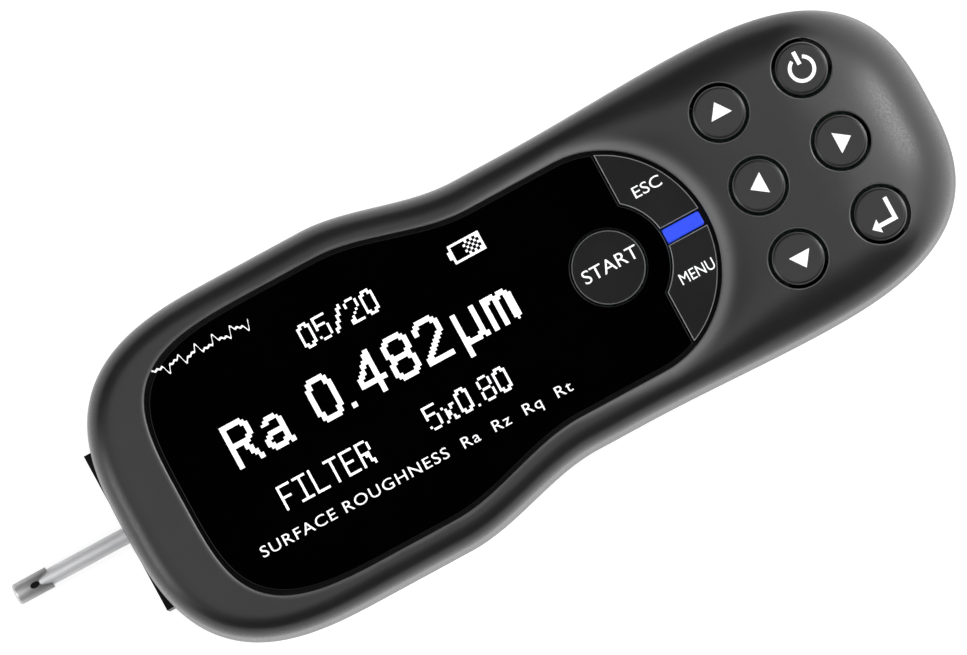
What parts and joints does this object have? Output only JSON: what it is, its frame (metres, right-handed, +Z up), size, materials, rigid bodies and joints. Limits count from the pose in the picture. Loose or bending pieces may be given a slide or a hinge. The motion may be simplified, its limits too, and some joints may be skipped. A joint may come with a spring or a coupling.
{
  "type": "surface roughness tester",
  "caption": "Handheld roughness tester: grey housing with a black display window, round keys, and a drive base whose thin skidded pickup traverses out of the front.",
  "frame": {"origin": "centre of the tester's box, on the surface that its two rails stand on", "axes": "+X from the pickup to the keypad end, +Y across to the left side seen from behind the keypad, +Z up"},
  "size_m": [0.158, 0.055, 0.052],
  "materials": {
    "soft_grey_shell": "soft-touch, fine grain",
    "black_shell": "fine grain",
    "lens": "polished black",
    "display": "polished",
    "black_plastic": "matte",
    "board": "solder-mask green",
    "dark_key": "satin",
    "grey_key": "satin",
    "blue_light": "translucent, lit",
    "black_anodised": "black anodised",
    "steel": "satin",
    "dark_steel": "dark satin",
    "bare_aluminium": "machined",
    "brass": "turned",
    "copper": "enamelled wire",
    "cell_sleeve": "shrink sleeve",
    "black_screw": "blackened"
  },
  "bodies": {
    "housing": {"upper_housing": "soft_grey_shell", "lower_housing": "black_shell", "display_lens": "lens", "oled_module": "display", "oled_frame": "black_plastic", "main_board": "board", "key_switches": "black_plastic", "light_bar": "blue_light", "drive_base": "black_anodised", "base_cover": "black_anodised", "front_plate": "black_anodised", "base_end_plate": "black_anodised", "motor_bracket": "bare_aluminium", "gear_motor": "steel", "guide_rods": "steel", "rod_block": "bare_aluminium", "limit_switches": "black_plastic", "battery_cell": "cell_sleeve", "battery_cradle": "black_plastic", "usb_socket": "steel", "power_board": "board", "housing_screws": "black_screw", "base_screws": "steel", "end_screws": "black_screw", "board_screws": "steel"},
    "carriage": {"carriage_block": "bare_aluminium", "lead_nut": "brass", "rod_bushes": "brass", "socket_pin": "steel", "float_spring": "steel"},
    "screw": {"lead_screw": "steel", "shaft_coupling": "brass"},
    "pickup": {"pickup_socket": "black_plastic", "pickup_plug": "brass", "pickup_body": "steel", "pickup_tube": "steel", "pickup_nose": "dark_steel", "sensor_coils": "copper", "stylus_pivot_pin": "steel"},
    "stylus": {"stylus_arm": "steel", "stylus_tip": "dark_steel", "armature": "dark_steel"},
    "start": {"start_key": "dark_key"},
    "esc": {"esc_key": "dark_key"},
    "menu": {"menu_key": "dark_key"},
    "up": {"up_key": "grey_key"},
    "left": {"left_key": "grey_key"},
    "down": {"down_key": "grey_key"},
    "power": {"power_key": "grey_key"},
    "right": {"right_key": "grey_key"},
    "enter": {"enter_key": "grey_key"}
  },
  "joints": [
    {"name": "start_press", "type": "slide", "parent": "housing", "child": "start", "axis": [0, 0, -1], "range_m": [0, 0.0008], "stiffness_N_per_m": 2000},
    {"name": "esc_press", "type": "slide", "parent": "housing", "child": "esc", "axis": [0, 0, -1], "range_m": [0, 0.0008], "stiffness_N_per_m": 2000},
    {"name": "menu_press", "type": "slide", "parent": "housing", "child": "menu", "axis": [0, 0, -1], "range_m": [0, 0.0008], "stiffness_N_per_m": 2000},
    {"name": "up_press", "type": "slide", "parent": "housing", "child": "up", "axis": [0, 0, -1], "range_m": [0, 0.0008], "stiffness_N_per_m": 2000},
    {"name": "left_press", "type": "slide", "parent": "housing", "child": "left", "axis": [0, 0, -1], "range_m": [0, 0.0008], "stiffness_N_per_m": 2000},
    {"name": "down_press", "type": "slide", "parent": "housing", "child": "down", "axis": [0, 0, -1], "range_m": [0, 0.0008], "stiffness_N_per_m": 2000},
    {"name": "power_press", "type": "slide", "parent": "housing", "child": "power", "axis": [0, 0, -1], "range_m": [0, 0.0008], "stiffness_N_per_m": 2000},
    {"name": "right_press", "type": "slide", "parent": "housing", "child": "right", "axis": [0, 0, -1], "range_m": [0, 0.0008], "stiffness_N_per_m": 2000},
    {"name": "enter_press", "type": "slide", "parent": "housing", "child": "enter", "axis": [0, 0, -1], "range_m": [0, 0.0008], "stiffness_N_per_m": 2000},
    {"name": "screw_turn", "type": "hinge", "parent": "housing", "child": "screw", "pos_m": [0, 0, 0.014], "axis": [1, 0, 0], "range_deg": [0, 6300]},
    {"name": "traverse", "type": "slide", "parent": "housing", "child": "carriage", "axis": [1, 0, 0], "range_m": [0, 0.0175]},
    {"name": "pickup_float", "type": "hinge", "parent": "carriage", "child": "pickup", "pos_m": [-0.0123, 0, 0.005], "axis": [0, 1, 0], "range_deg": [-0.8, 1.6], "stiffness_Nm_per_rad": 0.6},
    {"name": "stylus_rock", "type": "hinge", "parent": "pickup", "child": "stylus", "pos_m": [-0.045, 0, 0.0038], "axis": [0, 1, 0], "range_deg": [-0.3, 0.3], "stiffness_Nm_per_rad": 0.03}
  ],
  "couplings": [
    {"joint": "screw_turn", "follows": "traverse", "rad_per_m": 6283.2}
  ]
}
